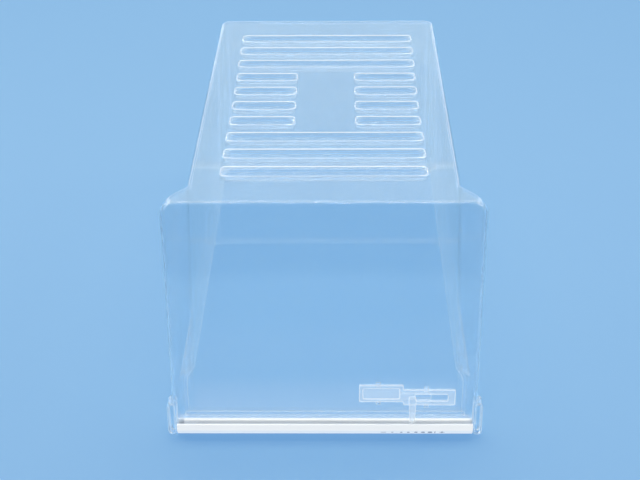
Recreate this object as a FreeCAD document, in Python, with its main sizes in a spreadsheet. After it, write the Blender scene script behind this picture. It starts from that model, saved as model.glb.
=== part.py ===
import FreeCAD, Part
import Sketcher
import math
import os

# Crisper drawer, the right way up: Z up, front panel towards -Y, origin at the middle of the underside.
# The pan is one clear moulding. A white grip trim sits on the front panel's top edge, and a clear
# humidity slide runs along X over a vent slot in the panel, held by four small clips.

SIZES = (
    # pan
    ("base_width", 239.6),
    ("base_length", 440.0),
    ("wall", 2.5),
    ("draft", 1.4),
    ("rim_height", 190.0),
    ("rear_corner_radius", 12.0),
    ("base_edge_radius", 5.0),
    # flared front panel
    ("panel_overhang", 20.9),
    ("panel_height", 236.0),
    ("panel_corner_radius", 14.0),
    ("panel_edge_radius", 4.0),
    ("neck_setback", 32.0),
    ("neck_radius", 8.0),
    ("panel_side_depth", 7.0),
    ("cheek_depth", 18.0),
    ("cheek_step_radius", 8.0),
    # side and rear flange that the drawer hangs by
    ("flange_width", 9.4),
    ("flange_rear_width", 12.4),
    ("flange_thickness", 2.5),
    ("flange_edge", 0.6),
    # raised ribs of the floor, hollow underneath
    ("rib_pitch", 35.9),
    ("rib_width", 18.6),
    ("rib_length", 183.0),
    ("rib_height", 3.0),
    ("rib_wall", 2.0),
    ("rib_draft", 25.0),
    ("split_rib_length", 61.5),
    ("split_rib_gap", 58.5),
    # rib on the inside of the panel, below the trim
    ("seat_rib_drop", 16.0),
    ("seat_rib_width", 4.6),
    ("seat_rib_depth", 2.0),
    ("seat_rib_length", 258.0),
    # hollow end stops of the trim
    ("ear_width", 8.4),
    ("ear_length", 34.0),
    ("ear_wall", 1.8),
    ("ear_front", 5.0),
    ("ear_back", 9.0),
    ("ear_recess", 4.4),
    ("ear_top", 2.0),
    # vent slot in the panel, placed from the panel's side and top
    ("vent_side_distance", 57.7),
    ("vent_drop", 36.8),
    ("vent_length", 29.0),
    ("vent_width", 6.0),
    ("vent_radius", 1.0),
    # grip trim
    ("trim_wall", 2.0),
    ("trim_end_gap", 0.2),
    ("trim_clearance", 0.2),
    ("trim_grip", 9.0),
    ("trim_lip", 2.2),
    ("trim_lip_height", 6.7),
    ("trim_bevel_drop", 5.0),
    ("trim_bevel_back", 3.0),
    ("trim_front_leg", 12.8),
    ("trim_rear_leg", 10.0),
    ("trim_top", 2.6),
    ("trim_round", 1.0),
    ("trim_edge", 0.6),
    ("trim_notch_left", 2.3),
    ("trim_notch_right", 6.0),
    # humidity slide, placed from the middle of the vent slot
    ("slide_gap", 0.4),
    ("slide_thickness", 2.0),
    ("slide_left_reach", 36.6),
    ("slide_right_reach", 51.5),
    ("slide_step_offset", 11.0),
    ("slide_foot_reach", 8.8),
    ("slide_head_reach", 8.2),
    ("slide_step_drop", 4.9),
    ("slide_step_top", 3.5),
    ("slide_corner", 1.2),
    ("slide_edge", 0.4),
    ("slide_recess", 0.8),
    ("slide_border", 3.6),
    ("window_offset", 14.8),
    ("window_length", 29.7),
    ("window_width", 6.7),
    ("tab_offset", 2.6),
    ("tab_width", 7.0),
    ("tab_tip_width", 4.6),
    ("tab_foot_reach", 1.3),
    ("tab_top_drop", 10.2),
    ("tab_thickness", 1.8),
    ("tab_gap", 0.3),
    # clips that hold the slide, placed from the middle of the vent slot
    ("clip_width", 4.0),
    ("near_clip_offset", 34.0),
    ("far_clip_offset", 10.0),
    ("clip_wall", 1.6),
    ("clip_lip", 1.2),
    ("clip_lip_thickness", 0.9),
    ("clip_clearance", 0.3),
    # how far a cutting sketch runs past what it cuts
    ("cut_margin", 5.0),
)


def make_sheet(doc):
    """Writes the driving dimensions, one row each."""
    sheet = doc.addObject("Spreadsheet::Sheet", "Sizes")
    for row, (alias, value) in enumerate(SIZES, start=1):
        sheet.set(f"A{row}", alias)
        sheet.set(f"B{row}", str(value))
        sheet.setAlias(f"B{row}", alias)
    doc.recompute()
    return sheet


# Places worked out from the sheet, as expressions

HALF_LENGTH = "Sizes.base_length / 2"
HALF_WIDTH = "Sizes.base_width / 2"
HALF_PANEL = "(Sizes.base_width / 2 + Sizes.panel_overhang)"
LEAN = "tan(Sizes.draft * 1deg)"
RIM_OUT = f"Sizes.rim_height * {LEAN}"
NECK_Y = "-(Sizes.base_length / 2 - Sizes.neck_setback)"
CHEEK_SLOPE = "(Sizes.neck_setback - Sizes.panel_side_depth) / Sizes.panel_overhang"
PAST_SIDES = f"2 * {HALF_PANEL} + Sizes.cut_margin"
VENT_X = f"(Sizes.vent_side_distance - {HALF_PANEL})"
VENT_HEIGHT = "(Sizes.panel_height - Sizes.vent_drop)"
SLIDE_FOOT = f"({VENT_HEIGHT} - Sizes.slide_foot_reach)"
SLIDE_HEAD = f"({VENT_HEIGHT} + Sizes.slide_head_reach)"
SLIDE_BACK = "Sizes.slide_gap"
SLIDE_FRONT = "Sizes.slide_gap + Sizes.slide_thickness"


def negative(expression):
    return f"-({expression})"


def plane(body, role):
    return next(f for f in body.Origin.OriginFeatures if f.Role == role)


def new_sketch(body, name, role):
    sketch = body.newObject("Sketcher::SketchObject", name)
    sketch.AttachmentSupport = [(plane(body, role), "")]
    sketch.MapMode = "FlatFace"
    return sketch


def raise_sketch(sketch, height):
    """Moves a sketch along its own normal."""
    sketch.setExpression("AttachmentOffset.Base.z", height)


def lay_on_panel(sketch, outward="0"):
    """Turns a sketch of the XY plane onto the leaning outer face of the front panel, or in front of it.

    There x runs along the panel, y up it and the sketch's normal points out of it."""
    turn = FreeCAD.Rotation(FreeCAD.Vector(1, 0, 0), 90)
    sketch.AttachmentOffset = FreeCAD.Placement(FreeCAD.Vector(0, 0, 0), turn)
    sketch.setExpression(
        "AttachmentOffset.Base.y", f"-Sizes.base_length / 2 - ({outward}) * cos(Sizes.draft * 1deg)"
    )
    sketch.setExpression("AttachmentOffset.Base.z", f"-({outward}) * sin(Sizes.draft * 1deg)")
    sketch.setExpression("AttachmentOffset.Rotation.Angle", "90 + Sizes.draft")


def number(thing, expression):
    return float(thing.evalExpression(expression))


def bind(sketch, constraint, expression):
    """Adds a constraint whose last value comes from the sheet."""
    index = sketch.addConstraint(constraint)
    sketch.setExpression(f"Constraints[{index}]", expression)


def pin_point(sketch, geometry, point, x, y):
    bind(sketch, Sketcher.Constraint("DistanceX", -1, 1, geometry, point, number(sketch, x)), x)
    bind(sketch, Sketcher.Constraint("DistanceY", -1, 1, geometry, point, number(sketch, y)), y)


def add_outline(sketch, corners):
    """Draws one closed outline. Each corner is (x, y) or (x, y, radius), written as expressions."""
    count = len(corners)
    points = [FreeCAD.Vector(number(sketch, c[0]), number(sketch, c[1]), 0) for c in corners]
    starts, ends, arcs = [], [], []
    for i, corner in enumerate(corners):
        here = points[i]
        if len(corner) == 2:
            starts.append(here)
            ends.append(here)
            arcs.append(None)
            continue
        radius = number(sketch, corner[2])
        back = (points[i - 1] - here).normalize()
        ahead = (points[(i + 1) % count] - here).normalize()
        half = math.acos(max(-1.0, min(1.0, back.dot(ahead)))) / 2
        reach = radius / math.tan(half)
        centre = here + (back + ahead).normalize() * (radius / math.sin(half))
        turns_left = (-back).cross(ahead).z > 0
        ends.append(here + back * reach)
        starts.append(here + ahead * reach)
        first, last = (ends[i], starts[i]) if turns_left else (starts[i], ends[i])
        a = math.atan2(first.y - centre.y, first.x - centre.x)
        b = math.atan2(last.y - centre.y, last.x - centre.x)
        if b < a:
            b += 2 * math.pi
        circle = Part.Circle(centre, FreeCAD.Vector(0, 0, 1), radius)
        arcs.append((Part.ArcOfCircle(circle, a, b), turns_left))
    lines = []
    for i in range(count):
        lines.append(sketch.addGeometry(Part.LineSegment(starts[i], ends[(i + 1) % count])))
    for i, corner in enumerate(corners):
        before, after = lines[i - 1], lines[i]
        if arcs[i] is None:
            sketch.addConstraint(Sketcher.Constraint("Coincident", before, 2, after, 1))
            pin_point(sketch, after, 1, corner[0], corner[1])
            continue
        arc = sketch.addGeometry(arcs[i][0])
        into, out_of = (1, 2) if arcs[i][1] else (2, 1)
        sharp = sketch.addGeometry(Part.Point(points[i]), True)
        sketch.addConstraint(Sketcher.Constraint("Tangent", before, 2, arc, into))
        sketch.addConstraint(Sketcher.Constraint("Tangent", arc, out_of, after, 1))
        sketch.addConstraint(Sketcher.Constraint("PointOnObject", sharp, 1, before))
        sketch.addConstraint(Sketcher.Constraint("PointOnObject", sharp, 1, after))
        pin_point(sketch, sharp, 1, corner[0], corner[1])
        bind(sketch, Sketcher.Constraint("Radius", arc, number(sketch, corner[2])), corner[2])


def add_rectangle(sketch, left, bottom, right, top, radius=None):
    tail = () if radius is None else (radius,)
    corners = [(left, bottom), (right, bottom), (right, top), (left, top)]
    add_outline(sketch, [corner + tail for corner in corners])


def add_slot(sketch, x, y, length, width, upright=False):
    """Draws a slot with round ends, centred at x, y and lying along x, or along y if upright."""
    run = f"(({length}) - ({width})) / 2"
    if upright:
        centres = [(x, f"({y}) - {run}"), (x, f"({y}) + {run}")]
        side, start = FreeCAD.Vector(1, 0, 0), math.pi
    else:
        centres = [(f"({x}) - {run}", y), (f"({x}) + {run}", y)]
        side, start = FreeCAD.Vector(0, 1, 0), math.pi / 2
    radius = number(sketch, f"({width}) / 2")
    first, last = (FreeCAD.Vector(number(sketch, cx), number(sketch, cy), 0) for cx, cy in centres)
    normal = FreeCAD.Vector(0, 0, 1)
    low = sketch.addGeometry(Part.ArcOfCircle(Part.Circle(first, normal, radius), start, start + math.pi))
    high = sketch.addGeometry(
        Part.ArcOfCircle(Part.Circle(last, normal, radius), start + math.pi, start + 2 * math.pi)
    )
    step = side * radius
    if upright:
        one = sketch.addGeometry(Part.LineSegment(first + step, last + step))
        other = sketch.addGeometry(Part.LineSegment(last - step, first - step))
    else:
        one = sketch.addGeometry(Part.LineSegment(first - step, last - step))
        other = sketch.addGeometry(Part.LineSegment(last + step, first + step))
    for terms in ((low, 2, one, 1), (one, 2, high, 1), (high, 2, other, 1), (other, 2, low, 1)):
        sketch.addConstraint(Sketcher.Constraint("Tangent", *terms))
    for arc, (cx, cy) in zip((low, high), centres):
        pin_point(sketch, arc, 3, cx, cy)
        bind(sketch, Sketcher.Constraint("Radius", arc, radius), f"({width}) / 2")


def extrude(body, kind, name, sketch, length, backwards=False, both_ways=False, taper=None):
    feature = body.newObject(f"PartDesign::{kind}", name)
    feature.Profile = sketch
    feature.setExpression("Length", length)
    feature.Reversed = backwards
    if both_ways:
        feature.SideType = "Symmetric"
    if taper is not None:
        feature.setExpression("TaperAngle", taper)
    sketch.Visibility = False
    body.Document.recompute()
    return feature


def add(body, name, sketch, length, **how):
    return extrude(body, "Pad", name, sketch, length, **how)


def cut(body, name, sketch, length, **how):
    """A pocket that has to remove something."""
    before = body.Shape.Volume
    feature = extrude(body, "Pocket", name, sketch, length, **how)
    if not body.Shape.Volume < before:
        raise RuntimeError(f"{name} cuts nothing")
    return feature


def edges_where(shape, wanted):
    """Names of the edges whose middle and ends meet a test."""
    found = []
    for index, edge in enumerate(shape.Edges, start=1):
        first, last = edge.FirstParameter, edge.LastParameter
        if wanted(edge.valueAt(first), edge.valueAt((first + last) / 2), edge.valueAt(last)):
            found.append(f"Edge{index}")
    return found


def round_edges(body, name, wanted, radius):
    base = body.Tip
    feature = body.newObject("PartDesign::Fillet", name)
    feature.Base = (base, edges_where(base.Shape, wanted))
    feature.setExpression("Radius", radius)
    body.Document.recompute()
    return feature


def break_edges(body, name, wanted, size):
    base = body.Tip
    feature = body.newObject("PartDesign::Chamfer", name)
    feature.Base = (base, edges_where(base.Shape, wanted))
    feature.setExpression("Size", size)
    body.Document.recompute()
    return feature


def repeat(body, name, features, direction, pitch, count):
    feature = body.newObject("PartDesign::LinearPattern", name)
    feature.Originals = features
    feature.Direction = (plane(body, direction), [""])
    feature.Occurrences = count
    feature.setExpression("Length", f"({pitch}) * {count - 1}")
    body.Tip = feature
    body.Document.recompute()
    return feature


def solid_form(body, inset, extra="0"):
    """The drawer's form as a solid block, tub plus front panel with flared cheeks, its faces moved in by
    inset and its top up by extra."""
    name = body.Label
    top = f"(Sizes.panel_height + {extra})"
    margin = "Sizes.cut_margin"
    square_in = f"{inset} / cos(Sizes.draft * 1deg)"

    plan = new_sketch(body, f"{name}_plan", "XY_Plane")
    raise_sketch(plan, inset)
    side = f"({HALF_WIDTH} - {square_in})"
    rear = f"{HALF_LENGTH} - {square_in}"
    front_end = f"-({HALF_LENGTH}) + 4 * Sizes.wall"
    radius = f"Sizes.rear_corner_radius - {inset}"
    add_outline(
        plan,
        [(f"-{side}", front_end), (side, front_end), (side, rear, radius), (f"-{side}", rear, radius)],
    )
    tub = add(body, f"{name}_tub", plan, f"{top} - {inset}")
    front_y = number(plan, front_end)
    walls = [
        f"Face{index}"
        for index, face in enumerate(tub.Shape.Faces, start=1)
        if abs(face.normalAt(0, 0).z) < 0.01 and face.CenterOfMass.y > front_y + 1
    ]
    lean_out = body.newObject("PartDesign::Draft", f"{name}_draft")
    lean_out.Base = (tub, walls)
    lean_out.NeutralPlane = (plane(body, "XY_Plane"), [""])
    lean_out.setExpression("Angle", "Sizes.draft")
    lean_out.Reversed = True
    body.Document.recompute()

    front = new_sketch(body, f"{name}_panel_plan", "XY_Plane")
    raise_sketch(front, inset)
    half = f"({HALF_PANEL} - {inset})"
    neck_x = f"({HALF_WIDTH} - {inset} * sqrt(1 + ({CHEEK_SLOPE}) ^ 2) / ({CHEEK_SLOPE}))"
    outer_y = f"{NECK_Y} - ({half} - {neck_x}) * {CHEEK_SLOPE}"
    inner_x = f"({neck_x} - 4 * {margin})"
    inner_y = f"{NECK_Y} + 4 * {margin} * {CHEEK_SLOPE}"
    ahead = f"-({HALF_LENGTH} + {top} * {LEAN} + {margin})"
    add_outline(
        front,
        [
            (f"-{half}", ahead),
            (half, ahead),
            (half, outer_y),
            (inner_x, inner_y),
            (f"-{inner_x}", inner_y),
            (f"-{half}", outer_y),
        ],
    )
    add(body, f"{name}_panel", front, f"{top} - {inset}")

    wedge = new_sketch(body, f"{name}_lean_line", "YZ_Plane")
    face = f"-({HALF_LENGTH}) + {square_in}"
    far = f"{ahead} - {margin}"
    above = f"({top} + {margin})"
    add_outline(
        wedge,
        [
            (f"{face} + {margin} * {LEAN}", negative(margin)),
            (far, negative(margin)),
            (far, above),
            (f"{face} - {above} * {LEAN}", above),
        ],
    )
    cut(body, f"{name}_lean", wedge, PAST_SIDES, both_ways=True)

    corners = new_sketch(body, f"{name}_corner_lines", "XZ_Plane")
    corner = f"(Sizes.panel_corner_radius - {inset})"
    start = f"({half} - {corner} - Sizes.trim_round)"
    end = f"({half} + {margin})"
    for sign in ("", "-"):
        line = [
            (f"{sign}{start}", negative(margin)),
            (f"{sign}{start}", inset),
            (f"{sign}{half}", inset, corner),
            (f"{sign}{half}", f"{inset} + {corner} + Sizes.trim_round"),
            (f"{sign}{end}", f"{inset} + {corner} + Sizes.trim_round"),
            (f"{sign}{end}", negative(margin)),
        ]
        add_outline(corners, line if sign == "-" else line[::-1])
    cut(body, f"{name}_corners", corners, "2 * Sizes.base_length", both_ways=True)

    round_form(body, number(plan, inset), inset)


def round_form(body, inset, inset_text):
    """Rounds the necks, then the loop round the base and up the cheeks, then the panel's outline."""
    sheet = body.Document.Sizes
    name = body.Label
    lean = math.tan(math.radians(sheet.draft))
    half_width = sheet.base_width / 2
    half_panel = half_width + sheet.panel_overhang - inset
    setback = sheet.base_length / 2 - sheet.neck_setback
    slope = (sheet.neck_setback - sheet.panel_side_depth) / sheet.panel_overhang
    neck_x = half_width - inset * math.sqrt(1 + slope**2) / slope
    front_y = sheet.base_length / 2 - inset / math.cos(math.radians(sheet.draft))
    top = body.Tip.Shape.BoundBox.ZMax - 0.01

    def on_front(p):
        return abs(p.y + front_y + p.z * lean) < 0.01

    def on_cheek(p):
        return abs(p.y + setback + (abs(p.x) - neck_x) * slope) < 0.01

    def neck(a, m, b):
        upright = abs(a.z - b.z) > sheet.rim_height / 2
        between = half_width - 2 * sheet.wall < abs(m.x) < (half_width + half_panel) / 2
        return upright and between and m.y > -setback - 2 * sheet.neck_radius and on_cheek(m)

    def outline(a, m, b):
        return on_front(a) and on_front(m) and on_front(b) and m.z < top

    def base_loop(a, m, b):
        level = max(a.z, m.z, b.z) < inset + 0.01
        if level and not on_front(m) and not (abs(a.x - b.x) < 0.01 and abs(m.x) > half_width):
            return True
        if not (on_cheek(a) and on_cheek(m) and on_cheek(b)) or m.z > top:
            return False
        outer_edge = abs(abs(m.x) - half_panel) < 0.01
        return outer_edge or max(a.z, b.z) < inset + sheet.panel_corner_radius + 1

    round_edges(body, f"{name}_neck_round", neck, f"Sizes.neck_radius + {inset_text}")
    round_edges(body, f"{name}_base_round", base_loop, f"Sizes.base_edge_radius - {inset_text}")
    round_edges(body, f"{name}_outline_round", outline, f"Sizes.panel_edge_radius - {inset_text}")


def cut_body(body, name, tool):
    """Takes a whole body out of another one."""
    feature = body.newObject("PartDesign::Boolean", name)
    feature.setObjects([tool])
    feature.Type = "Cut"
    body.Document.recompute()
    return feature


def cut_to_rim(body):
    """Lowers the tub's walls to the rim, with a rounded step up to the cheeks."""
    margin = "Sizes.cut_margin"
    top = f"Sizes.panel_height + {margin}"
    past = f"{HALF_LENGTH} + Sizes.panel_height * {LEAN} + {margin}"
    step = new_sketch(body, "rim_line", "YZ_Plane")
    cheek_end = f"-({HALF_LENGTH}) + Sizes.cheek_depth"
    add_outline(
        step,
        [
            (cheek_end, "Sizes.rim_height", "Sizes.cheek_step_radius"),
            (past, "Sizes.rim_height"),
            (past, top),
            (cheek_end, top),
        ],
    )
    cut(body, "rim_step", step, PAST_SIDES, both_ways=True)


def add_flange(body):
    """The flat flange along the sides and the rear, its front ends run into the cheeks."""
    drop = "Sizes.flange_thickness"
    sketch = new_sketch(body, "flange_plan", "XY_Plane")
    raise_sketch(sketch, f"Sizes.rim_height - {drop}")
    wall_x = f"({HALF_WIDTH} + {RIM_OUT})"
    wall_y = f"({HALF_LENGTH} + {RIM_OUT})"
    middle = "Sizes.wall / 2"
    out_x = f"({wall_x} + Sizes.flange_width)"
    out_y = f"({wall_y} + Sizes.flange_rear_width)"
    in_x = f"({wall_x} - {middle})"
    in_y = f"({wall_y} - {middle})"
    line_x = f"({HALF_WIDTH} - {middle})"
    out_front = f"({NECK_Y} - ({out_x} - {line_x}) * {CHEEK_SLOPE})"
    in_front = f"({NECK_Y} - ({in_x} - {line_x}) * {CHEEK_SLOPE})"
    outer_radius = "Sizes.rear_corner_radius + Sizes.flange_width"
    inner_radius = f"Sizes.rear_corner_radius - {middle}"
    add_outline(
        sketch,
        [
            (out_x, out_front),
            (out_x, out_y, outer_radius),
            (f"-{out_x}", out_y, outer_radius),
            (f"-{out_x}", out_front),
            (f"-{in_x}", in_front),
            (f"-{in_x}", in_y, inner_radius),
            (in_x, in_y, inner_radius),
            (in_x, in_front),
        ],
    )
    add(body, "flange", sketch, drop)
    sheet = body.Document.Sizes
    lean = math.tan(math.radians(sheet.draft))
    edge_x = sheet.base_width / 2 + sheet.rim_height * lean + sheet.flange_width
    edge_y = sheet.base_length / 2 + sheet.rim_height * lean + sheet.flange_rear_width
    low = sheet.rim_height - sheet.flange_thickness - 0.01

    def flange_edge(a, m, b):
        flat = abs(a.z - b.z) < 0.01 and m.z > low and m.z < sheet.rim_height + 0.01
        side = abs(abs(m.x) - edge_x) < 0.01 and abs(a.y - b.y) > 50
        rear = abs(m.y - edge_y) < 0.01
        corner = abs(m.x) > edge_x - 10 and edge_y - 10 < m.y < edge_y - 0.01
        return flat and (side or rear or corner)

    break_edges(body, "flange_edges", flange_edge, "Sizes.flange_edge")


def add_ribs(body):
    """Ten rows of rounded ribs on the floor, hollow underneath. The middle four rows are split."""
    slant = "tan(Sizes.rib_draft * 1deg)"
    grow = f"2 * (Sizes.rib_wall / cos(Sizes.rib_draft * 1deg) - Sizes.wall * {slant})"
    split_x = "(Sizes.split_rib_gap + Sizes.split_rib_length) / 2"
    full = [("0", "-4.5 * Sizes.rib_pitch"), ("0", "2.5 * Sizes.rib_pitch")]
    split = [(f"-({split_x})", "-1.5 * Sizes.rib_pitch"), (split_x, "-1.5 * Sizes.rib_pitch")]
    for name, centres, length, count in (
        ("full", full, "Sizes.rib_length", 3),
        ("split", split, "Sizes.split_rib_length", 4),
    ):
        above = new_sketch(body, f"{name}_rib_plan", "XY_Plane")
        raise_sketch(above, "Sizes.wall")
        below = new_sketch(body, f"{name}_groove_plan", "XY_Plane")
        for x, y in centres:
            add_slot(above, x, y, f"{length} + {grow}", f"Sizes.rib_width + {grow}")
            add_slot(below, x, y, length, "Sizes.rib_width")
        rib = add(body, f"{name}_ribs", above, "Sizes.rib_height", taper="-Sizes.rib_draft")
        groove = cut(
            body, f"{name}_grooves", below, "Sizes.rib_height", backwards=True, taper="-Sizes.rib_draft"
        )
        repeat(body, f"{name}_rib_rows", [rib, groove], "Y_Axis", "Sizes.rib_pitch", count)


def add_panel_details(body):
    """What is moulded on the front panel: seat rib, end stops of the trim, vent slot, clips."""
    seat = new_sketch(body, "seat_rib_line", "XY_Plane")
    lay_on_panel(seat, "-Sizes.wall / 2")
    seat_height = "Sizes.panel_height - Sizes.seat_rib_drop"
    add_slot(seat, "0", seat_height, "Sizes.seat_rib_length", "Sizes.seat_rib_width")
    add(body, "seat_rib", seat, "Sizes.wall / 2 + Sizes.seat_rib_depth", backwards=True)

    ear_y = "Sizes.panel_height + Sizes.ear_top - Sizes.ear_length / 2"
    ears = new_sketch(body, "ear_outline", "XY_Plane")
    lay_on_panel(ears, "Sizes.ear_front")
    hollows = new_sketch(body, "ear_hollow", "XY_Plane")
    lay_on_panel(hollows, "Sizes.ear_front")
    for x in (HALF_PANEL, negative(HALF_PANEL)):
        add_slot(ears, x, ear_y, "Sizes.ear_length", "Sizes.ear_width", upright=True)
        inner_length = "Sizes.ear_length - 2 * Sizes.ear_wall"
        inner_width = "Sizes.ear_width - 2 * Sizes.ear_wall"
        add_slot(hollows, x, ear_y, inner_length, inner_width, upright=True)
    add(body, "ears", ears, "Sizes.ear_front + Sizes.ear_back", backwards=True)
    cut(body, "ear_hollows", hollows, "Sizes.ear_recess")

    vent = new_sketch(body, "vent_outline", "XY_Plane")
    lay_on_panel(vent, "Sizes.cut_margin")
    add_rectangle(
        vent,
        f"{VENT_X} - Sizes.vent_length / 2",
        f"{VENT_HEIGHT} - Sizes.vent_width / 2",
        f"{VENT_X} + Sizes.vent_length / 2",
        f"{VENT_HEIGHT} + Sizes.vent_width / 2",
        "Sizes.vent_radius",
    )
    cut(body, "vent", vent, "2 * Sizes.cut_margin")

    clear = "Sizes.clip_clearance"
    near = f"({VENT_X} + Sizes.near_clip_offset)"
    far = f"({VENT_X} - Sizes.far_clip_offset)"
    low_block = f"{SLIDE_FOOT} - Sizes.slide_step_drop - {clear}"
    low_frame = f"{SLIDE_FOOT} - {clear}"
    high_block = f"{SLIDE_HEAD} - Sizes.slide_step_top + {clear}"
    high_frame = f"{SLIDE_HEAD} + {clear}"
    stems = new_sketch(body, "clip_stem_lines", "XY_Plane")
    lay_on_panel(stems, "-Sizes.wall / 2")
    lips = new_sketch(body, "clip_lip_lines", "XY_Plane")
    lay_on_panel(lips, f"{SLIDE_FRONT} + {clear}")
    over = f"({clear} + Sizes.clip_lip)"
    for x, edge, sign in (
        (near, low_block, "-"),
        (far, low_frame, "-"),
        (near, high_block, "+"),
        (far, high_frame, "+"),
    ):
        left, right = f"{x} - Sizes.clip_width / 2", f"{x} + Sizes.clip_width / 2"
        outer = f"{edge} {sign} Sizes.clip_wall"
        inner = f"{edge} {'+' if sign == '-' else '-'} {over}"
        low, high = (outer, edge) if sign == "-" else (edge, outer)
        add_rectangle(stems, left, low, right, high)
        low, high = (outer, inner) if sign == "-" else (inner, outer)
        add_rectangle(lips, left, low, right, high)
    lip = "Sizes.clip_lip_thickness"
    add(body, "clip_stems", stems, f"Sizes.wall / 2 + {SLIDE_FRONT} + {clear} + {lip} / 2")
    add(body, "clip_lips", lips, lip)


def make_pan(doc):
    body = doc.addObject("PartDesign::Body", "pan")
    inside = doc.addObject("PartDesign::Body", "inside")
    solid_form(inside, "Sizes.wall", "Sizes.cut_margin")
    solid_form(body, "0")
    cut_body(body, "hollow", inside)
    cut_to_rim(body)
    add_flange(body)
    add_ribs(body)
    add_panel_details(body)
    return body


def make_trim(doc):
    """The grip strip: one section pushed along X, its slot over the panel's top edge."""
    body = doc.addObject("PartDesign::Body", "front_trim")
    section = new_sketch(body, "trim_section", "YZ_Plane")
    section.AttachmentOffset = FreeCAD.Placement(FreeCAD.Vector(), FreeCAD.Rotation(0, 0, 0))
    section.setExpression("AttachmentOffset.Base.x", "-Sizes.base_length / 2")
    section.setExpression("AttachmentOffset.Rotation.Angle", "Sizes.draft")
    doc.recompute()
    edge, soft = "Sizes.trim_edge", "Sizes.trim_round"
    leg, lip_back, lip_front = "-Sizes.trim_wall", "-(Sizes.trim_grip - Sizes.trim_lip)", "-Sizes.trim_grip"
    inside = "Sizes.wall + Sizes.trim_clearance"
    rear = f"{inside} + Sizes.trim_wall"
    front_foot = "Sizes.panel_height - Sizes.trim_front_leg"
    rear_foot = "Sizes.panel_height - Sizes.trim_rear_leg"
    bevel_foot = "Sizes.panel_height - Sizes.trim_bevel_drop"
    lip_foot = f"{bevel_foot} - Sizes.trim_lip_height"
    slot_top = "Sizes.panel_height + Sizes.trim_clearance"
    top = "Sizes.panel_height + Sizes.trim_top"
    add_outline(
        section,
        [
            ("0", front_foot),
            ("0", slot_top),
            (inside, slot_top),
            (inside, rear_foot, edge),
            (rear, rear_foot, edge),
            (rear, top, soft),
            ("-Sizes.trim_bevel_back", top, soft),
            (lip_front, bevel_foot, soft),
            (lip_front, lip_foot, soft),
            (lip_back, lip_foot, soft),
            (lip_back, bevel_foot, soft),
            (leg, bevel_foot, soft),
            (leg, front_foot, edge),
        ],
    )
    half = f"({HALF_PANEL} - Sizes.ear_width / 2 - Sizes.trim_end_gap)"
    add(body, "trim_strip", section, f"2 * {half}", both_ways=True)
    notches = new_sketch(body, "trim_notches", "XY_Plane")
    lay_on_panel(notches, "Sizes.trim_wall + 1")
    below = f"{front_foot} - Sizes.cut_margin"
    above = f"{bevel_foot} - {soft}"
    margin = "Sizes.cut_margin"
    add_rectangle(notches, f"-{half} - {margin}", below, f"-{half} + Sizes.trim_notch_left", above)
    add_rectangle(notches, f"{half} - Sizes.trim_notch_right", below, f"{half} + {margin}", above)
    cut(body, "trim_ends", notches, "Sizes.trim_wall + 2")
    return body


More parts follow.
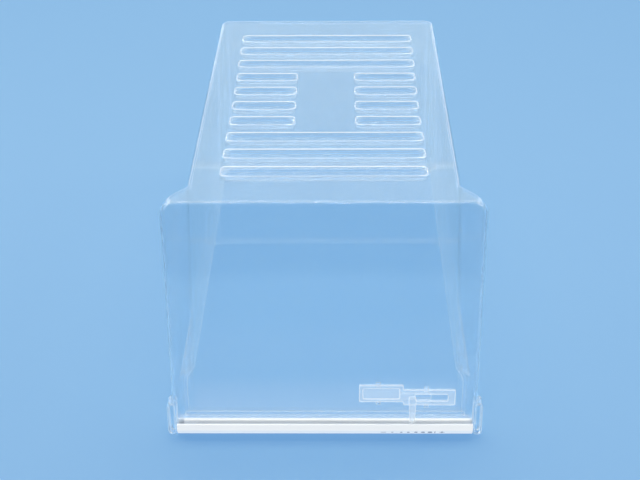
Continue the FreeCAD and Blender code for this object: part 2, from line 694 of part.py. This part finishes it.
def make_slide(doc):
    """The humidity slide: a stepped plate with a window in its frame, and a tab that reaches the trim."""
    body = doc.addObject("PartDesign::Body", "humidity_slide")
    left = f"({VENT_X} - Sizes.slide_left_reach)"
    right = f"({VENT_X} + Sizes.slide_right_reach)"
    step = f"({VENT_X} + Sizes.slide_step_offset)"
    bottom, top, corner = SLIDE_FOOT, SLIDE_HEAD, "Sizes.slide_corner"
    low, high = f"{bottom} - Sizes.slide_step_drop", f"{top} - Sizes.slide_step_top"
    plate = new_sketch(body, "slide_outline", "XY_Plane")
    lay_on_panel(plate, SLIDE_BACK)
    add_outline(
        plate,
        [
            (left, bottom, corner),
            (step, bottom, corner),
            (step, low, corner),
            (right, low, corner),
            (right, high, corner),
            (step, high, corner),
            (step, top, corner),
            (left, top, corner),
        ],
    )
    add(body, "slide_plate", plate, "Sizes.slide_thickness")

    window = new_sketch(body, "window_outline", "XY_Plane")
    lay_on_panel(window, f"{SLIDE_FRONT} + 1")
    middle = f"({VENT_X} - Sizes.window_offset)"
    add_rectangle(
        window,
        f"{middle} - Sizes.window_length / 2",
        f"{VENT_HEIGHT} - Sizes.window_width / 2",
        f"{middle} + Sizes.window_length / 2",
        f"{VENT_HEIGHT} + Sizes.window_width / 2",
        "Sizes.vent_radius",
    )
    cut(body, "window", window, "Sizes.slide_thickness + 2")

    recess = new_sketch(body, "block_recess_outline", "XY_Plane")
    lay_on_panel(recess, f"{SLIDE_FRONT} + 1")
    border = "Sizes.slide_border"
    add_rectangle(
        recess,
        f"{step} + {border}",
        f"{low} + {border}",
        f"{right} - {border}",
        f"{high} - {border}",
        corner,
    )
    cut(body, "block_recess", recess, "Sizes.slide_recess + 1")

    break_edges(body, "plate_edges", on_plate_front(body), "Sizes.slide_edge")

    root = new_sketch(body, "tab_root_outline", "XY_Plane")
    lay_on_panel(root, f"{SLIDE_FRONT} - Sizes.slide_edge")
    tab_x = f"({VENT_X} + Sizes.tab_offset)"
    tab_foot = f"({VENT_HEIGHT} - Sizes.tab_foot_reach)"
    tab_top = "Sizes.panel_height - Sizes.tab_top_drop"
    wide, narrow = "Sizes.tab_width / 2", "Sizes.tab_tip_width / 2"
    root_left = f"{tab_x} - {wide} + Sizes.slide_edge"
    root_right = f"{tab_x} + {wide} - Sizes.slide_edge"
    root_top = f"{top} - Sizes.clip_lip - Sizes.tab_gap"
    add_rectangle(root, root_left, tab_foot, root_right, root_top, "Sizes.slide_edge")
    over_lip = "Sizes.clip_clearance + Sizes.clip_lip_thickness + Sizes.tab_gap"
    add(body, "tab_root", root, f"{over_lip} + Sizes.slide_edge + Sizes.tab_thickness / 2")

    blade = new_sketch(body, "tab_outline", "XY_Plane")
    lay_on_panel(blade, f"{SLIDE_FRONT} + {over_lip}")
    tip = f"{narrow} - 0.1"
    add_outline(
        blade,
        [
            (f"{tab_x} - {wide}", tab_foot, corner),
            (f"{tab_x} + {wide}", tab_foot, corner),
            (f"{tab_x} + {narrow}", tab_top, tip),
            (f"{tab_x} - {narrow}", tab_top, tip),
        ],
    )
    add(body, "tab_blade", blade, "Sizes.tab_thickness")
    return body


def on_plate_front(body):
    """Tests for the edges of the slide's front face, its window and its recess among them."""
    sheet = body.Document.Sizes
    angle = math.radians(sheet.draft)
    outward = sheet.slide_gap + sheet.slide_thickness

    def wanted(a, m, b):
        away = [-(p.y + sheet.base_length / 2) * math.cos(angle) - p.z * math.sin(angle) for p in (a, m, b)]
        return all(abs(g - outward) < 0.01 for g in away)

    return wanted


def main():
    doc = FreeCAD.newDocument("crisper_drawer")
    make_sheet(doc)
    bodies = [make_pan(doc), make_trim(doc), make_slide(doc)]
    doc.recompute()
    for thing in doc.Objects:
        if "Invalid" in thing.State or "Error" in thing.State:
            raise RuntimeError(f"{thing.Label} failed: {thing.State}")
    os.makedirs("parts", exist_ok=True)
    for body in bodies:
        shape = body.Shape
        if shape.isNull() or not shape.isValid() or len(shape.Solids) != 1:
            raise RuntimeError(f"{body.Label} is not one valid solid")
        shape.exportStep(f"parts/{body.Label}.step")


main()
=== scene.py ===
"""Crisper drawer: clear moulded pan, white grip trim, clear humidity slide."""

import math

import bmesh
import bpy
from mathutils import Matrix, Vector


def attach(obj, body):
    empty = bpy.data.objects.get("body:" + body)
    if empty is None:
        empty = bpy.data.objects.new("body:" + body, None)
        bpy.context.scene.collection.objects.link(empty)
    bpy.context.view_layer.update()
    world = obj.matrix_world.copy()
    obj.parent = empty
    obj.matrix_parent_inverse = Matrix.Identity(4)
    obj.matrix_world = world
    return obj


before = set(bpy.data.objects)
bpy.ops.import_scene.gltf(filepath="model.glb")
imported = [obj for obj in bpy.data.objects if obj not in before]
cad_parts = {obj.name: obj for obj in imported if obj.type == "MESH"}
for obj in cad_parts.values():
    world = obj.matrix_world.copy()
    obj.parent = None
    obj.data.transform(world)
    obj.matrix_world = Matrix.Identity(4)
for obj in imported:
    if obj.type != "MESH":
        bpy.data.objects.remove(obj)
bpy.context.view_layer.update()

# Backdrop, linear colours: its own glow, near and far, painted darker far off (a painted shade), a
# painted pool of light behind the trim, and the paper that the lamps light

BACKDROP_BLUE = (0.272, 0.515, 0.807)
SHEET_GLOW = (0.03, 0.19, 0.52)
# Painted shade: the glow is darker at the sheet's far end
SHEET_GLOW_FAR_PAINTED_SHADE = (0.0, 0.155, 0.485)
SHEET_PAPER = (0.225, 0.288, 0.248)
# Painted pool of light: extra glow behind the trim
PAINTED_LIGHT_POOL = (0.085, 0.068, 0.04)
PAINTED_SHADE_SPAN = (0.0, 0.8)
TABLE_LEVEL = 0.8
FLOOR_LEVEL = 1.0
EDGE_ON = (0.78, 0.86)

# Studio round the drawer, linear colours, as mirrored, as seen through the plastic and as it lights

SOFT_WHITE = (0.92, 0.95, 0.93)
SOFTBOX = (0.68, 0.81, 0.90)
STUDIO_DIM = (0.20, 0.36, 0.58)
PAST_TABLE = (0.0, 0.14, 0.40)
FAR_WALL = (2.0, 2.05, 2.05)
OVERHEAD = (1.4, 1.5, 1.5)
SIDE_DARK = (0.05, 0.14, 0.30)
SIDE_DARK_SHARE = 0.5
AMBIENT_BEFORE = (0.33, 0.44, 0.60), (0.50, 0.52, 0.54)
AMBIENT_BEHIND = (0.42, 0.58, 0.78), (0.80, 0.84, 0.88)

# Finishes

TRIM_WHITE = (0.86, 0.87, 0.88)
TRIM_WHITE_CLOUD = (0.83, 0.845, 0.86)
INK_DARK = (0.17, 0.21, 0.30)
INK_WORN = (0.30, 0.35, 0.44)
CLEAR_TINT = (0.94, 0.97, 0.985)
STRAIGHT_TINT = (0.988, 0.994, 0.997)
SHADOW_TINT = (0.97, 0.98, 0.99)
# White of the even frost and of the painted highlights on sharp edges and groove rims
FROST_AND_HIGHLIGHT_WHITE = (0.93, 0.96, 0.98)
MIRROR_WHITE = (1.0, 1.0, 1.0)
CLEAR_IOR = 1.59
WHITE_IOR = 1.5
STRAIGHT_SHARE = 0.78
MIRROR_HEAD_ON = 0.052
MIRROR_SLANT = 0.95
# Strength of the painted highlight lines on the groove rims
RIM_PAINTED_HIGHLIGHT = 0.7
SHADOW_PASSING = 0.97

# The ten rows of grooves in the underside, metres: half lengths and half width, as in the CAD

ROW_PITCH = 0.0359
ROWS_EACH_WAY = 5.0
SPLIT_ROWS_EACH_WAY = 2.0
GROOVE_HALF_WIDTH = 0.0093
GROOVE_HALF_LENGTH = 0.0915
SPLIT_MIDDLE = 0.06
SPLIT_HALF_LENGTH = 0.03075
GROOVE_CORNER = 0.004
# The groove rims' painted highlight lines: their width and depth, and how much weaker they are
# along the sides
RIM_WIDTH = (0.0004, 0.0009)
RIM_DEPTH = (0.0004, 0.0007)
RIM_SIDE_WEAKER = 0.6

# The front panel's outline, metres: its widening with height, its rounded edge at the foot, and the
# depth in which it lies

PANEL_DRAFT = 0.0178
PANEL_OUTLINE = (0.1365, 0.139)
PANEL_FRONT = (-0.19, -0.185)
OUTLINE_BEND = 0.62

# Heights and ends of the drawer for the table it stands on when turned over, metres

PANEL_TOP = 0.2386
RIM_TOP = 0.1902
PANEL_FACE = -0.228
REAR_RIM = 0.237
STAGE_GAP = 0.0002
TABLE_NEAR, TABLE_FAR = (-0.42, 0.5), (0.86, 0.7)
FLOOR_HALF = 2.5
HORIZON = (0.55, 1.3)

# Print on the trim's bevel, metres: the bevel's middle and directions, place along it and radius of
# the dots, place and half sizes of the bars

BEVEL_MIDDLE = (0.0, -0.231775, 0.23453)
BEVEL_ALONG = (1.0, 0.0, 0.0)
BEVEL_ACROSS = (0.0, 0.6, 0.8)
BEVEL_OUT = (0.0, -0.8, 0.6)
PRINT_SKIN = 0.00005
DOT_CORNERS = 24
SCALE_DOTS = (
    (-0.0624, 0.0010), (-0.0707, 0.0012), (-0.0772, 0.0014),
    (-0.0842, 0.0016), (-0.0907, 0.0019), (-0.0972, 0.0022),
)
SCALE_BARS = (
    (-0.0541, 0.0024, 0.0006), (-0.1017, 0.0004, 0.0024),
    (-0.1082, 0.0024, 0.0006), (-0.1082, 0.0006, 0.0024),
)

# Lamps: name, place, target, size, watts, tint, whether surfaces mirror them

WHITE_LIGHT = (1.0, 1.0, 1.0)
WARM_LIGHT = (1.0, 0.95, 0.84)
LAMPS = (
    ("soft_overhead", (0.0, 0.95, -1.5), (0.0, -0.1, 0.2), (1.6, 0.8), 15.0, WHITE_LIGHT, False),
    ("strip_overhead", (0.0, 0.25, -1.6), (0.0, 0.0, 0.1), (1.6, 0.3), 9.0, WHITE_LIGHT, True),
    ("soft_left", (1.4, 0.5, -1.0), (0.0, -0.1, 0.2), (0.6, 0.9), 7.5, WHITE_LIGHT, True),
    ("soft_right", (-1.4, 0.5, -1.0), (0.0, -0.1, 0.2), (0.6, 0.9), 4.5, WHITE_LIGHT, True),
    ("soft_camera_side", (0.0, -1.7, 0.08), (0.0, -0.2, 0.2), (1.4, 0.3), 13.4, WARM_LIGHT, False),
    ("soft_top", (0.0, -0.2, 1.9), (0.0, 0.0, 0.0), (1.6, 1.2), 3.0, WHITE_LIGHT, True),
    ("soft_top_left", (-1.3, -1.0, 1.3), (0.0, -0.1, 0.1), (0.7, 0.9), 1.2, WHITE_LIGHT, True),
    ("soft_top_right", (1.3, -0.8, 1.3), (0.0, -0.1, 0.1), (0.7, 0.9), 1.2, WHITE_LIGHT, True),
)

# Camera, as far as the photograph gives it: the drawer stands on its open side there

CAMERA_PLACE = (-0.01343, -1.22639, -0.53334)
VIEW_PITCH = math.radians(29.537)
VIEW_YAW = math.radians(0.939)
VIEW_ROLL = math.radians(-0.515)
FOCAL_PIXELS = 1345.0
IMAGE_WIDTH = 640
SENSOR = 36.0
CLIPPING = (0.05, 50.0)


class Value:
    """A node's output that takes part in Python arithmetic."""

    def __init__(self, tree, socket):
        self.tree = tree
        self.socket = socket

    def math(self, operation, *others):
        return self.tree.add("ShaderNodeMath", {"operation": operation}, self, *others)

    def __add__(self, other):
        return self.math("ADD", other)

    def __radd__(self, other):
        return self.math("ADD", other)

    def __sub__(self, other):
        return self.math("SUBTRACT", other)

    def __rsub__(self, other):
        return self.tree.add("ShaderNodeMath", {"operation": "SUBTRACT"}, other, self)

    def __mul__(self, other):
        return self.math("MULTIPLY", other)

    def __truediv__(self, other):
        return self.math("DIVIDE", other)

    def __abs__(self):
        return self.math("ABSOLUTE")

    def __pow__(self, other):
        return self.math("POWER", other)

    def above(self, low, high):
        """0 below low, 1 above high, smooth between."""
        return self.tree.ramp(self, low, high)

    def below(self, low, high):
        """1 below low, 0 above high, smooth between."""
        return 1.0 - self.tree.ramp(self, low, high)


class Tree:
    """Nodes of one material or of the world."""

    def __init__(self, owner):
        owner.use_nodes = True
        self.nodes = owner.node_tree.nodes
        self.links = owner.node_tree.links
        self.nodes.clear()

    def node(self, kind, settings=None, *inputs, **named):
        """Makes a node: its settings first, then the values or links of its sockets."""
        made = self.nodes.new(kind)
        for key, value in (settings or {}).items():
            setattr(made, key, value)
        pairs = list(enumerate(inputs))
        pairs += [(key.replace("_", " "), value) for key, value in named.items()]
        for key, value in pairs:
            if isinstance(value, Value):
                self.links.new(value.socket, made.inputs[key])
            elif value is not None:
                made.inputs[key].default_value = value
        return made

    def add(self, kind, settings=None, *inputs, output=0, **named):
        made = self.node(kind, settings, *inputs, **named)
        return Value(self, made.outputs[output])

    def ramp(self, value, low, high):
        settings = {"interpolation_type": "SMOOTHSTEP"}
        return self.add("ShaderNodeMapRange", settings, value, low, high, 0.0, 1.0)

    def blend(self, amount, one, other):
        """Mixes two colours."""
        made = self.nodes.new("ShaderNodeMix")
        made.data_type = "RGBA"
        for index, value in ((0, amount), (6, one), (7, other)):
            if isinstance(value, Value):
                self.links.new(value.socket, made.inputs[index])
            else:
                made.inputs[index].default_value = value if index == 0 else (*value, 1.0)
        return Value(self, made.outputs[2])

    def split(self, vector):
        made = self.node("ShaderNodeSeparateXYZ", None, vector)
        return [Value(self, made.outputs[i]) for i in range(3)]

    def place(self):
        """The point's position in the object's own frame, in metres."""
        return self.add("ShaderNodeTexCoord", None, output="Object")

    def noise(self, vector, scale, detail=3.0, roughness=0.5):
        return self.add(
            "ShaderNodeTexNoise", None, vector, Scale=scale, Detail=detail, Roughness=roughness
        )

    def stretch(self, vector, scale):
        return self.add("ShaderNodeMapping", None, vector, Scale=scale)

    def bump(self, height, strength, distance, normal=None):
        return self.add(
            "ShaderNodeBump",
            None,
            Strength=strength,
            Distance=distance,
            Height=height,
            Normal=normal,
        )

    def soft_edges(self, radius):
        """The surface's direction as if its sharp edges were rounded."""
        return self.add("ShaderNodeBevel", {"samples": 6}, Radius=radius)

    def facing(self):
        """0 where a surface faces the ray, 1 where it is seen edge-on."""
        return self.add("ShaderNodeLayerWeight", None, 0.5, output="Facing")

    def ray(self, name):
        return self.add("ShaderNodeLightPath", None, output=name)

    def shader(self, kind, colour=None, **named):
        """A shader of one constant colour."""
        return self.add(kind, None, colour and (*colour, 1.0), **named)

    def mix(self, amount, one, other):
        """Mixes two shaders."""
        return self.add("ShaderNodeMixShader", None, amount, one, other)

    def finish(self, shader, kind="ShaderNodeOutputMaterial"):
        self.node(kind, None, shader)


def new_material(name):
    material = bpy.data.materials.new(name)
    return material, Tree(material)


def groove_rim_highlight_mask(tree, place):
    """1 on the thin rims of the underside's grooves, where painted highlight lines go, 0 elsewhere.
    """
    x, y, z = tree.split(place)
    across = abs((y / ROW_PITCH).math("FRACT") - 0.5) * ROW_PITCH
    across = across - (GROOVE_HALF_WIDTH - GROOVE_CORNER)
    split_end = SPLIT_ROWS_EACH_WAY * ROW_PITCH
    split = abs(y).below(split_end - 0.0001, split_end)
    along = abs(x) - split * SPLIT_MIDDLE
    half_length = GROOVE_HALF_LENGTH - split * (GROOVE_HALF_LENGTH - SPLIT_HALF_LENGTH)
    along = (abs(along) - half_length + GROOVE_CORNER).math("MAXIMUM", 0.0)
    across = across.math("MAXIMUM", 0.0)
    gap = abs((along ** 2.0 + across ** 2.0) ** 0.5 - GROOVE_CORNER)
    rows_end = ROWS_EACH_WAY * ROW_PITCH
    rim = gap.below(*RIM_WIDTH) * abs(y).below(rows_end, rows_end + 0.0001)
    sides = 1.0 - along.above(0.0015, 0.0038) * RIM_SIDE_WEAKER
    return rim * sides * z.below(*RIM_DEPTH)


def panel_outline(tree, place):
    """1 along the thick rounded outline of the front panel, 0 elsewhere."""
    x, y, z = tree.split(place)
    return (abs(x) - z * PANEL_DRAFT).above(*PANEL_OUTLINE) * y.below(*PANEL_FRONT)


def make_clear_plastic(name, roughness, edge, edge_highlight, haze, rim_highlights=None, outline=None):
    """Polished clear moulding.

    Part of the light bends through it and part goes straight on, the faces mirror the studio more
    at a slant, and the sharp moulded edges carry a painted highlight, a white diffuse line as if
    they caught the light, over an even frost set by haze. The groove rims carry whiter painted
    highlight lines, and the outline bends more of the light."""
    material, tree = new_material(name)
    place = tree.place()
    waves = tree.noise(place, 9.0, 2.0)
    flow = tree.noise(tree.stretch(place, (1.0, 6.0, 6.0)), 14.0, 3.0)
    rubs = tree.noise(tree.stretch(place, (60.0, 4.0, 60.0)), 30.0, 4.0, 0.7).above(0.62, 0.8)
    rounded = tree.soft_edges(edge)
    flat = tree.add("ShaderNodeNewGeometry", None, output="Normal")
    agreement = {"operation": "DOT_PRODUCT"}
    turned = 1.0 - tree.add("ShaderNodeVectorMath", agreement, rounded, flat, output="Value")
    surface = tree.bump(waves * 0.6 + flow * 0.4, 0.06, 0.0004, rounded)
    bent = tree.add(
        "ShaderNodeBsdfPrincipled",
        None,
        Base_Color=(*CLEAR_TINT, 1.0),
        Roughness=roughness + rubs * 0.12,
        IOR=CLEAR_IOR,
        Transmission_Weight=1.0,
        Normal=surface,
    )
    slant = tree.facing()
    straight = tree.shader("ShaderNodeBsdfTransparent", STRAIGHT_TINT)
    mirror = tree.shader(
        "ShaderNodeBsdfAnisotropic", MIRROR_WHITE, Roughness=roughness + rubs * 0.1, Normal=surface
    )
    plain = tree.mix(slant ** 5.0 * MIRROR_SLANT + MIRROR_HEAD_ON, straight, mirror)
    share = STRAIGHT_SHARE - outline(tree, place) * OUTLINE_BEND if outline else STRAIGHT_SHARE
    body = tree.mix(share, bent, plain)
    frost_and_highlight = tree.shader("ShaderNodeBsdfDiffuse", FROST_AND_HIGHLIGHT_WHITE)
    # Painted highlight: sharp edges, where the rounded direction turns from the flat one, and the
    # groove rims mix toward white diffuse as if they caught the light; haze adds an even frost
    highlight_and_haze = turned.above(0.002, 0.03) * edge_highlight + haze
    if rim_highlights:
        highlight_and_haze = highlight_and_haze.math("MAXIMUM", rim_highlights(tree, place) * RIM_PAINTED_HIGHLIGHT)
    body = tree.mix(highlight_and_haze, body, frost_and_highlight)
    passing = tree.shader("ShaderNodeBsdfTransparent", SHADOW_TINT)
    tree.finish(tree.mix(tree.ray("Is Shadow Ray") * SHADOW_PASSING, body, passing))
    return material


def make_white_plastic():
    """Satin white moulding with a faint pull texture along its length."""
    material, tree = new_material("satin_white_plastic")
    place = tree.place()
    grain = tree.noise(tree.stretch(place, (1.0, 8.0, 8.0)), 900.0, 2.0)
    cloud = tree.noise(place, 25.0, 3.0)
    satin = tree.add(
        "ShaderNodeBsdfPrincipled",
        None,
        Base_Color=tree.blend(cloud.above(0.3, 0.7), TRIM_WHITE_CLOUD, TRIM_WHITE),
        Roughness=0.34 + cloud * 0.08,
        IOR=WHITE_IOR,
        Normal=tree.bump(grain, 0.15, 0.0002),
    )
    tree.finish(satin)
    return material


def make_world():
    """The studio by direction.

    Every pair of numbers is where a region's soft edge starts and ends along one axis of the
    direction. The drawer's underside is lit, so the lights are below it."""
    world = bpy.data.worlds.new("studio")
    bpy.context.scene.world = world
    tree = Tree(world)
    x, y, z = tree.split(tree.add("ShaderNodeTexCoord", None, output="Generated"))
    lit_side = z.below(-0.12, 0.04)
    camera_side = y.below(-0.8, -0.5)
    softbox = y.above(0.6, 0.75) * z.below(-0.35, -0.25)
    sky = tree.blend(softbox, SOFT_WHITE, SOFTBOX)
    sky = tree.blend(camera_side, sky, STUDIO_DIM)
    room = tree.blend(lit_side, BACKDROP_BLUE, sky)
    past_table = y.below(-0.75, -0.6) * z.above(0.1, 0.25) * z.below(0.465, 0.478)
    mirrored = tree.blend(past_table, room, PAST_TABLE)
    far_wall = y.above(0.3, 0.5) * z.above(-0.32, -0.24) * z.below(-0.14, -0.08)
    mirrored = tree.blend(far_wall, mirrored, FAR_WALL)
    mirrored = tree.blend(z.below(-0.97, -0.9), mirrored, OVERHEAD)
    side_dark = abs(x).above(0.55, 0.75) * z.above(0.1, 0.3)
    through = tree.blend(side_dark * SIDE_DARK_SHARE, room, SIDE_DARK)
    seen = tree.blend(tree.ray("Is Transmission Ray"), mirrored, through)
    direct = tree.ray("Is Camera Ray")
    seen = tree.blend(direct, seen, BACKDROP_BLUE)
    known = tree.ray("Is Glossy Ray").math("MAXIMUM", tree.ray("Is Transmission Ray"))
    known = known.math("MAXIMUM", direct)
    before = tree.blend(z.below(-0.3, 0.3), *AMBIENT_BEFORE)
    behind = tree.blend(z.below(-0.3, 0.3), *AMBIENT_BEHIND)
    ambient = tree.blend(y.above(-0.4, 0.3), before, behind)
    colour = tree.blend(known, ambient, seen)
    background = tree.add("ShaderNodeBackground", None, colour, 1.0)
    tree.finish(background, "ShaderNodeOutputWorld")


def make_lamp(name, place, target, size, power, tint, mirrored):
    """A softbox that only light sees, and reflections where it is mirrored."""
    light = bpy.data.lights.new(name, "AREA")
    light.shape = "RECTANGLE"
    light.size, light.size_y = size
    light.energy = power
    light.color = tint
    lamp = bpy.data.objects.new(name, light)
    bpy.context.collection.objects.link(lamp)
    lamp.location = place
    aim = Vector(target) - Vector(place)
    lamp.rotation_euler = aim.to_track_quat("-Z", "Y").to_euler()
    lamp.visible_camera = False
    lamp.visible_transmission = False
    lamp.visible_glossy = mirrored


def make_sheet(name, corners, level, horizon=None):
    """A blue backdrop sheet that shows from its front only and keeps the drawer's shadow.

    Behind the trim it carries a painted pool of light, standing in for the light that the clear
    plastic gathers there, and its glow is painted darker towards the far end, a painted shade. With
    a horizon, given as two distances from the middle, it runs out into the backdrop between them.
    Without one it doesn't show when seen nearly edge-on."""
    mesh = bpy.data.meshes.new(name)
    mesh.from_pydata(corners, [], [tuple(range(len(corners)))])
    sheet = bpy.data.objects.new(name, mesh)
    bpy.context.collection.objects.link(sheet)
    material, tree = new_material(name)
    paper = tree.shader("ShaderNodeBsdfDiffuse", [part * level for part in SHEET_PAPER])
    x, y, _ = tree.split(tree.place())
    # Painted pool of light: a lighter patch of glow behind the trim, standing in for light that the
    # clear plastic gathers there
    painted_pool_mask = abs(x).below(0.115, 0.145) * y.below(-0.178, -0.142) * y.above(-0.232, -0.222)
    glow_with_painted_pool = [part + more for part, more in zip(SHEET_GLOW, PAINTED_LIGHT_POOL)]
    # Painted shade: the glow gets darker towards the sheet's far end
    glow = tree.blend(y.above(*PAINTED_SHADE_SPAN), SHEET_GLOW, SHEET_GLOW_FAR_PAINTED_SHADE)
    glow = tree.add("ShaderNodeEmission", None, tree.blend(painted_pool_mask, glow, glow_with_painted_pool), 1.0)
    paper = tree.add("ShaderNodeAddShader", None, paper, glow)
    if horizon:
        distant = tree.shader("ShaderNodeEmission", BACKDROP_BLUE, Strength=1.0)
        reach = ((x * x + y * y) ** 0.5).above(*horizon)
        paper = tree.mix(reach, paper, distant)
    clear = tree.shader("ShaderNodeBsdfTransparent")
    hidden = tree.add("ShaderNodeNewGeometry", None, output="Backfacing")
    if not horizon:
        hidden = hidden.math("MAXIMUM", tree.facing().above(*EDGE_ON))
    tree.finish(tree.mix(hidden, paper, clear))
    mesh.materials.append(material)
    material.cycles.emission_sampling = "NONE"
    sheet.visible_shadow = False
    sheet.visible_glossy = False
    sheet.visible_diffuse = False


def make_stage():
    """The table that the turned drawer stands on, leaning as the drawer does, and a floor."""
    lean = (PANEL_TOP - RIM_TOP) / (REAR_RIM - PANEL_FACE)
    left, right = [], []
    for y, half_width in (TABLE_NEAR, TABLE_FAR):
        level = PANEL_TOP + STAGE_GAP - (y - PANEL_FACE) * lean
        left.append((-half_width, y, level))
        right.append((half_width, y, level))
    make_sheet("table_sheet", left + right[::-1], TABLE_LEVEL)
    turns = ((-1, -1), (1, -1), (1, 1), (-1, 1))
    floor = [(x * FLOOR_HALF, y * FLOOR_HALF, -STAGE_GAP) for x, y in turns]
    make_sheet("floor_sheet", floor, FLOOR_LEVEL, HORIZON)


def make_camera():
    camera = bpy.data.objects.new("camera", bpy.data.cameras.new("camera"))
    bpy.context.collection.objects.link(camera)
    camera.data.sensor_width = SENSOR
    camera.data.lens = FOCAL_PIXELS / IMAGE_WIDTH * SENSOR
    level = Vector((math.sin(VIEW_YAW), math.cos(VIEW_YAW), 0.0))
    ahead = level * math.cos(VIEW_PITCH) + Vector((0.0, 0.0, math.sin(VIEW_PITCH)))
    up = level * math.sin(VIEW_PITCH) - Vector((0.0, 0.0, math.cos(VIEW_PITCH)))
    right = ahead.cross(up)
    side = right * math.cos(VIEW_ROLL) + up * math.sin(VIEW_ROLL)
    up = up * math.cos(VIEW_ROLL) - right * math.sin(VIEW_ROLL)
    turn = Matrix((side, up, -ahead)).transposed().to_4x4()
    camera.matrix_world = Matrix.Translation(CAMERA_PLACE) @ turn
    camera.data.clip_start, camera.data.clip_end = CLIPPING
    bpy.context.scene.camera = camera


def add_mark(mesh, place, outline):
    """Adds a closed flat mark on the bevel, PRINT_SKIN high, its outline round a place along it."""
    along, across, out = Vector(BEVEL_ALONG), Vector(BEVEL_ACROSS), Vector(BEVEL_OUT)
    foot = Vector(BEVEL_MIDDLE) + along * place
    rings = []
    for level in (-PRINT_SKIN, PRINT_SKIN):
        points = [foot + along * u + across * v + out * level for u, v in outline]
        rings.append([mesh.verts.new(point) for point in points])
    mesh.faces.new(rings[0][::-1])
    mesh.faces.new(rings[1])
    for i, corner in enumerate(rings[0]):
        j = (i + 1) % len(outline)
        mesh.faces.new((corner, rings[0][j], rings[1][j], rings[1][i]))


def make_scale_print():
    """The scale on the trim's bevel: growing dots, a stop line, plain minus and plus marks."""
    mesh = bmesh.new()
    turns = [2.0 * math.pi * i / DOT_CORNERS for i in range(DOT_CORNERS)]
    for place, radius in SCALE_DOTS:
        add_mark(mesh, place, [(radius * math.cos(a), radius * math.sin(a)) for a in turns])
    for place, half_width, half_height in SCALE_BARS:
        bar = [(-half_width, -half_height), (half_width, -half_height)]
        bar += [(u, -v) for u, v in bar[::-1]]
        add_mark(mesh, place, bar)
    bmesh.ops.recalc_face_normals(mesh, faces=mesh.faces)
    data = bpy.data.meshes.new("humidity_scale_print")
    mesh.to_mesh(data)
    mesh.free()
    material, tree = new_material("grey_scale_print")
    worn = tree.noise(tree.place(), 900.0, 3.0).above(0.35, 0.75)
    ink = tree.add(
        "ShaderNodeBsdfPrincipled",
        None,
        Base_Color=tree.blend(worn, INK_DARK, INK_WORN),
        Roughness=0.5 + worn * 0.2,
    )
    tree.finish(ink)
    data.materials.append(material)
    piece = bpy.data.objects.new("humidity_scale_print", data)
    bpy.context.collection.objects.link(piece)
    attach(piece, "drawer")


def dress(node, material):
    """Gives a CAD node its finish."""
    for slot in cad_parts[node].material_slots:
        slot.material = material


make_camera()
make_world()
for lamp in LAMPS:
    make_lamp(*lamp)
make_stage()
pan_plastic = make_clear_plastic(
    "clear_pan_plastic", 0.012, 0.0009, 0.3, 0.0, groove_rim_highlight_mask, panel_outline
)
dress("pan", pan_plastic)
dress("humidity_slide", make_clear_plastic("clear_slide_plastic", 0.1, 0.0007, 0.45, 0.12))
dress("front_trim", make_white_plastic())
make_scale_print()
bpy.context.scene.view_settings.view_transform = "Standard"
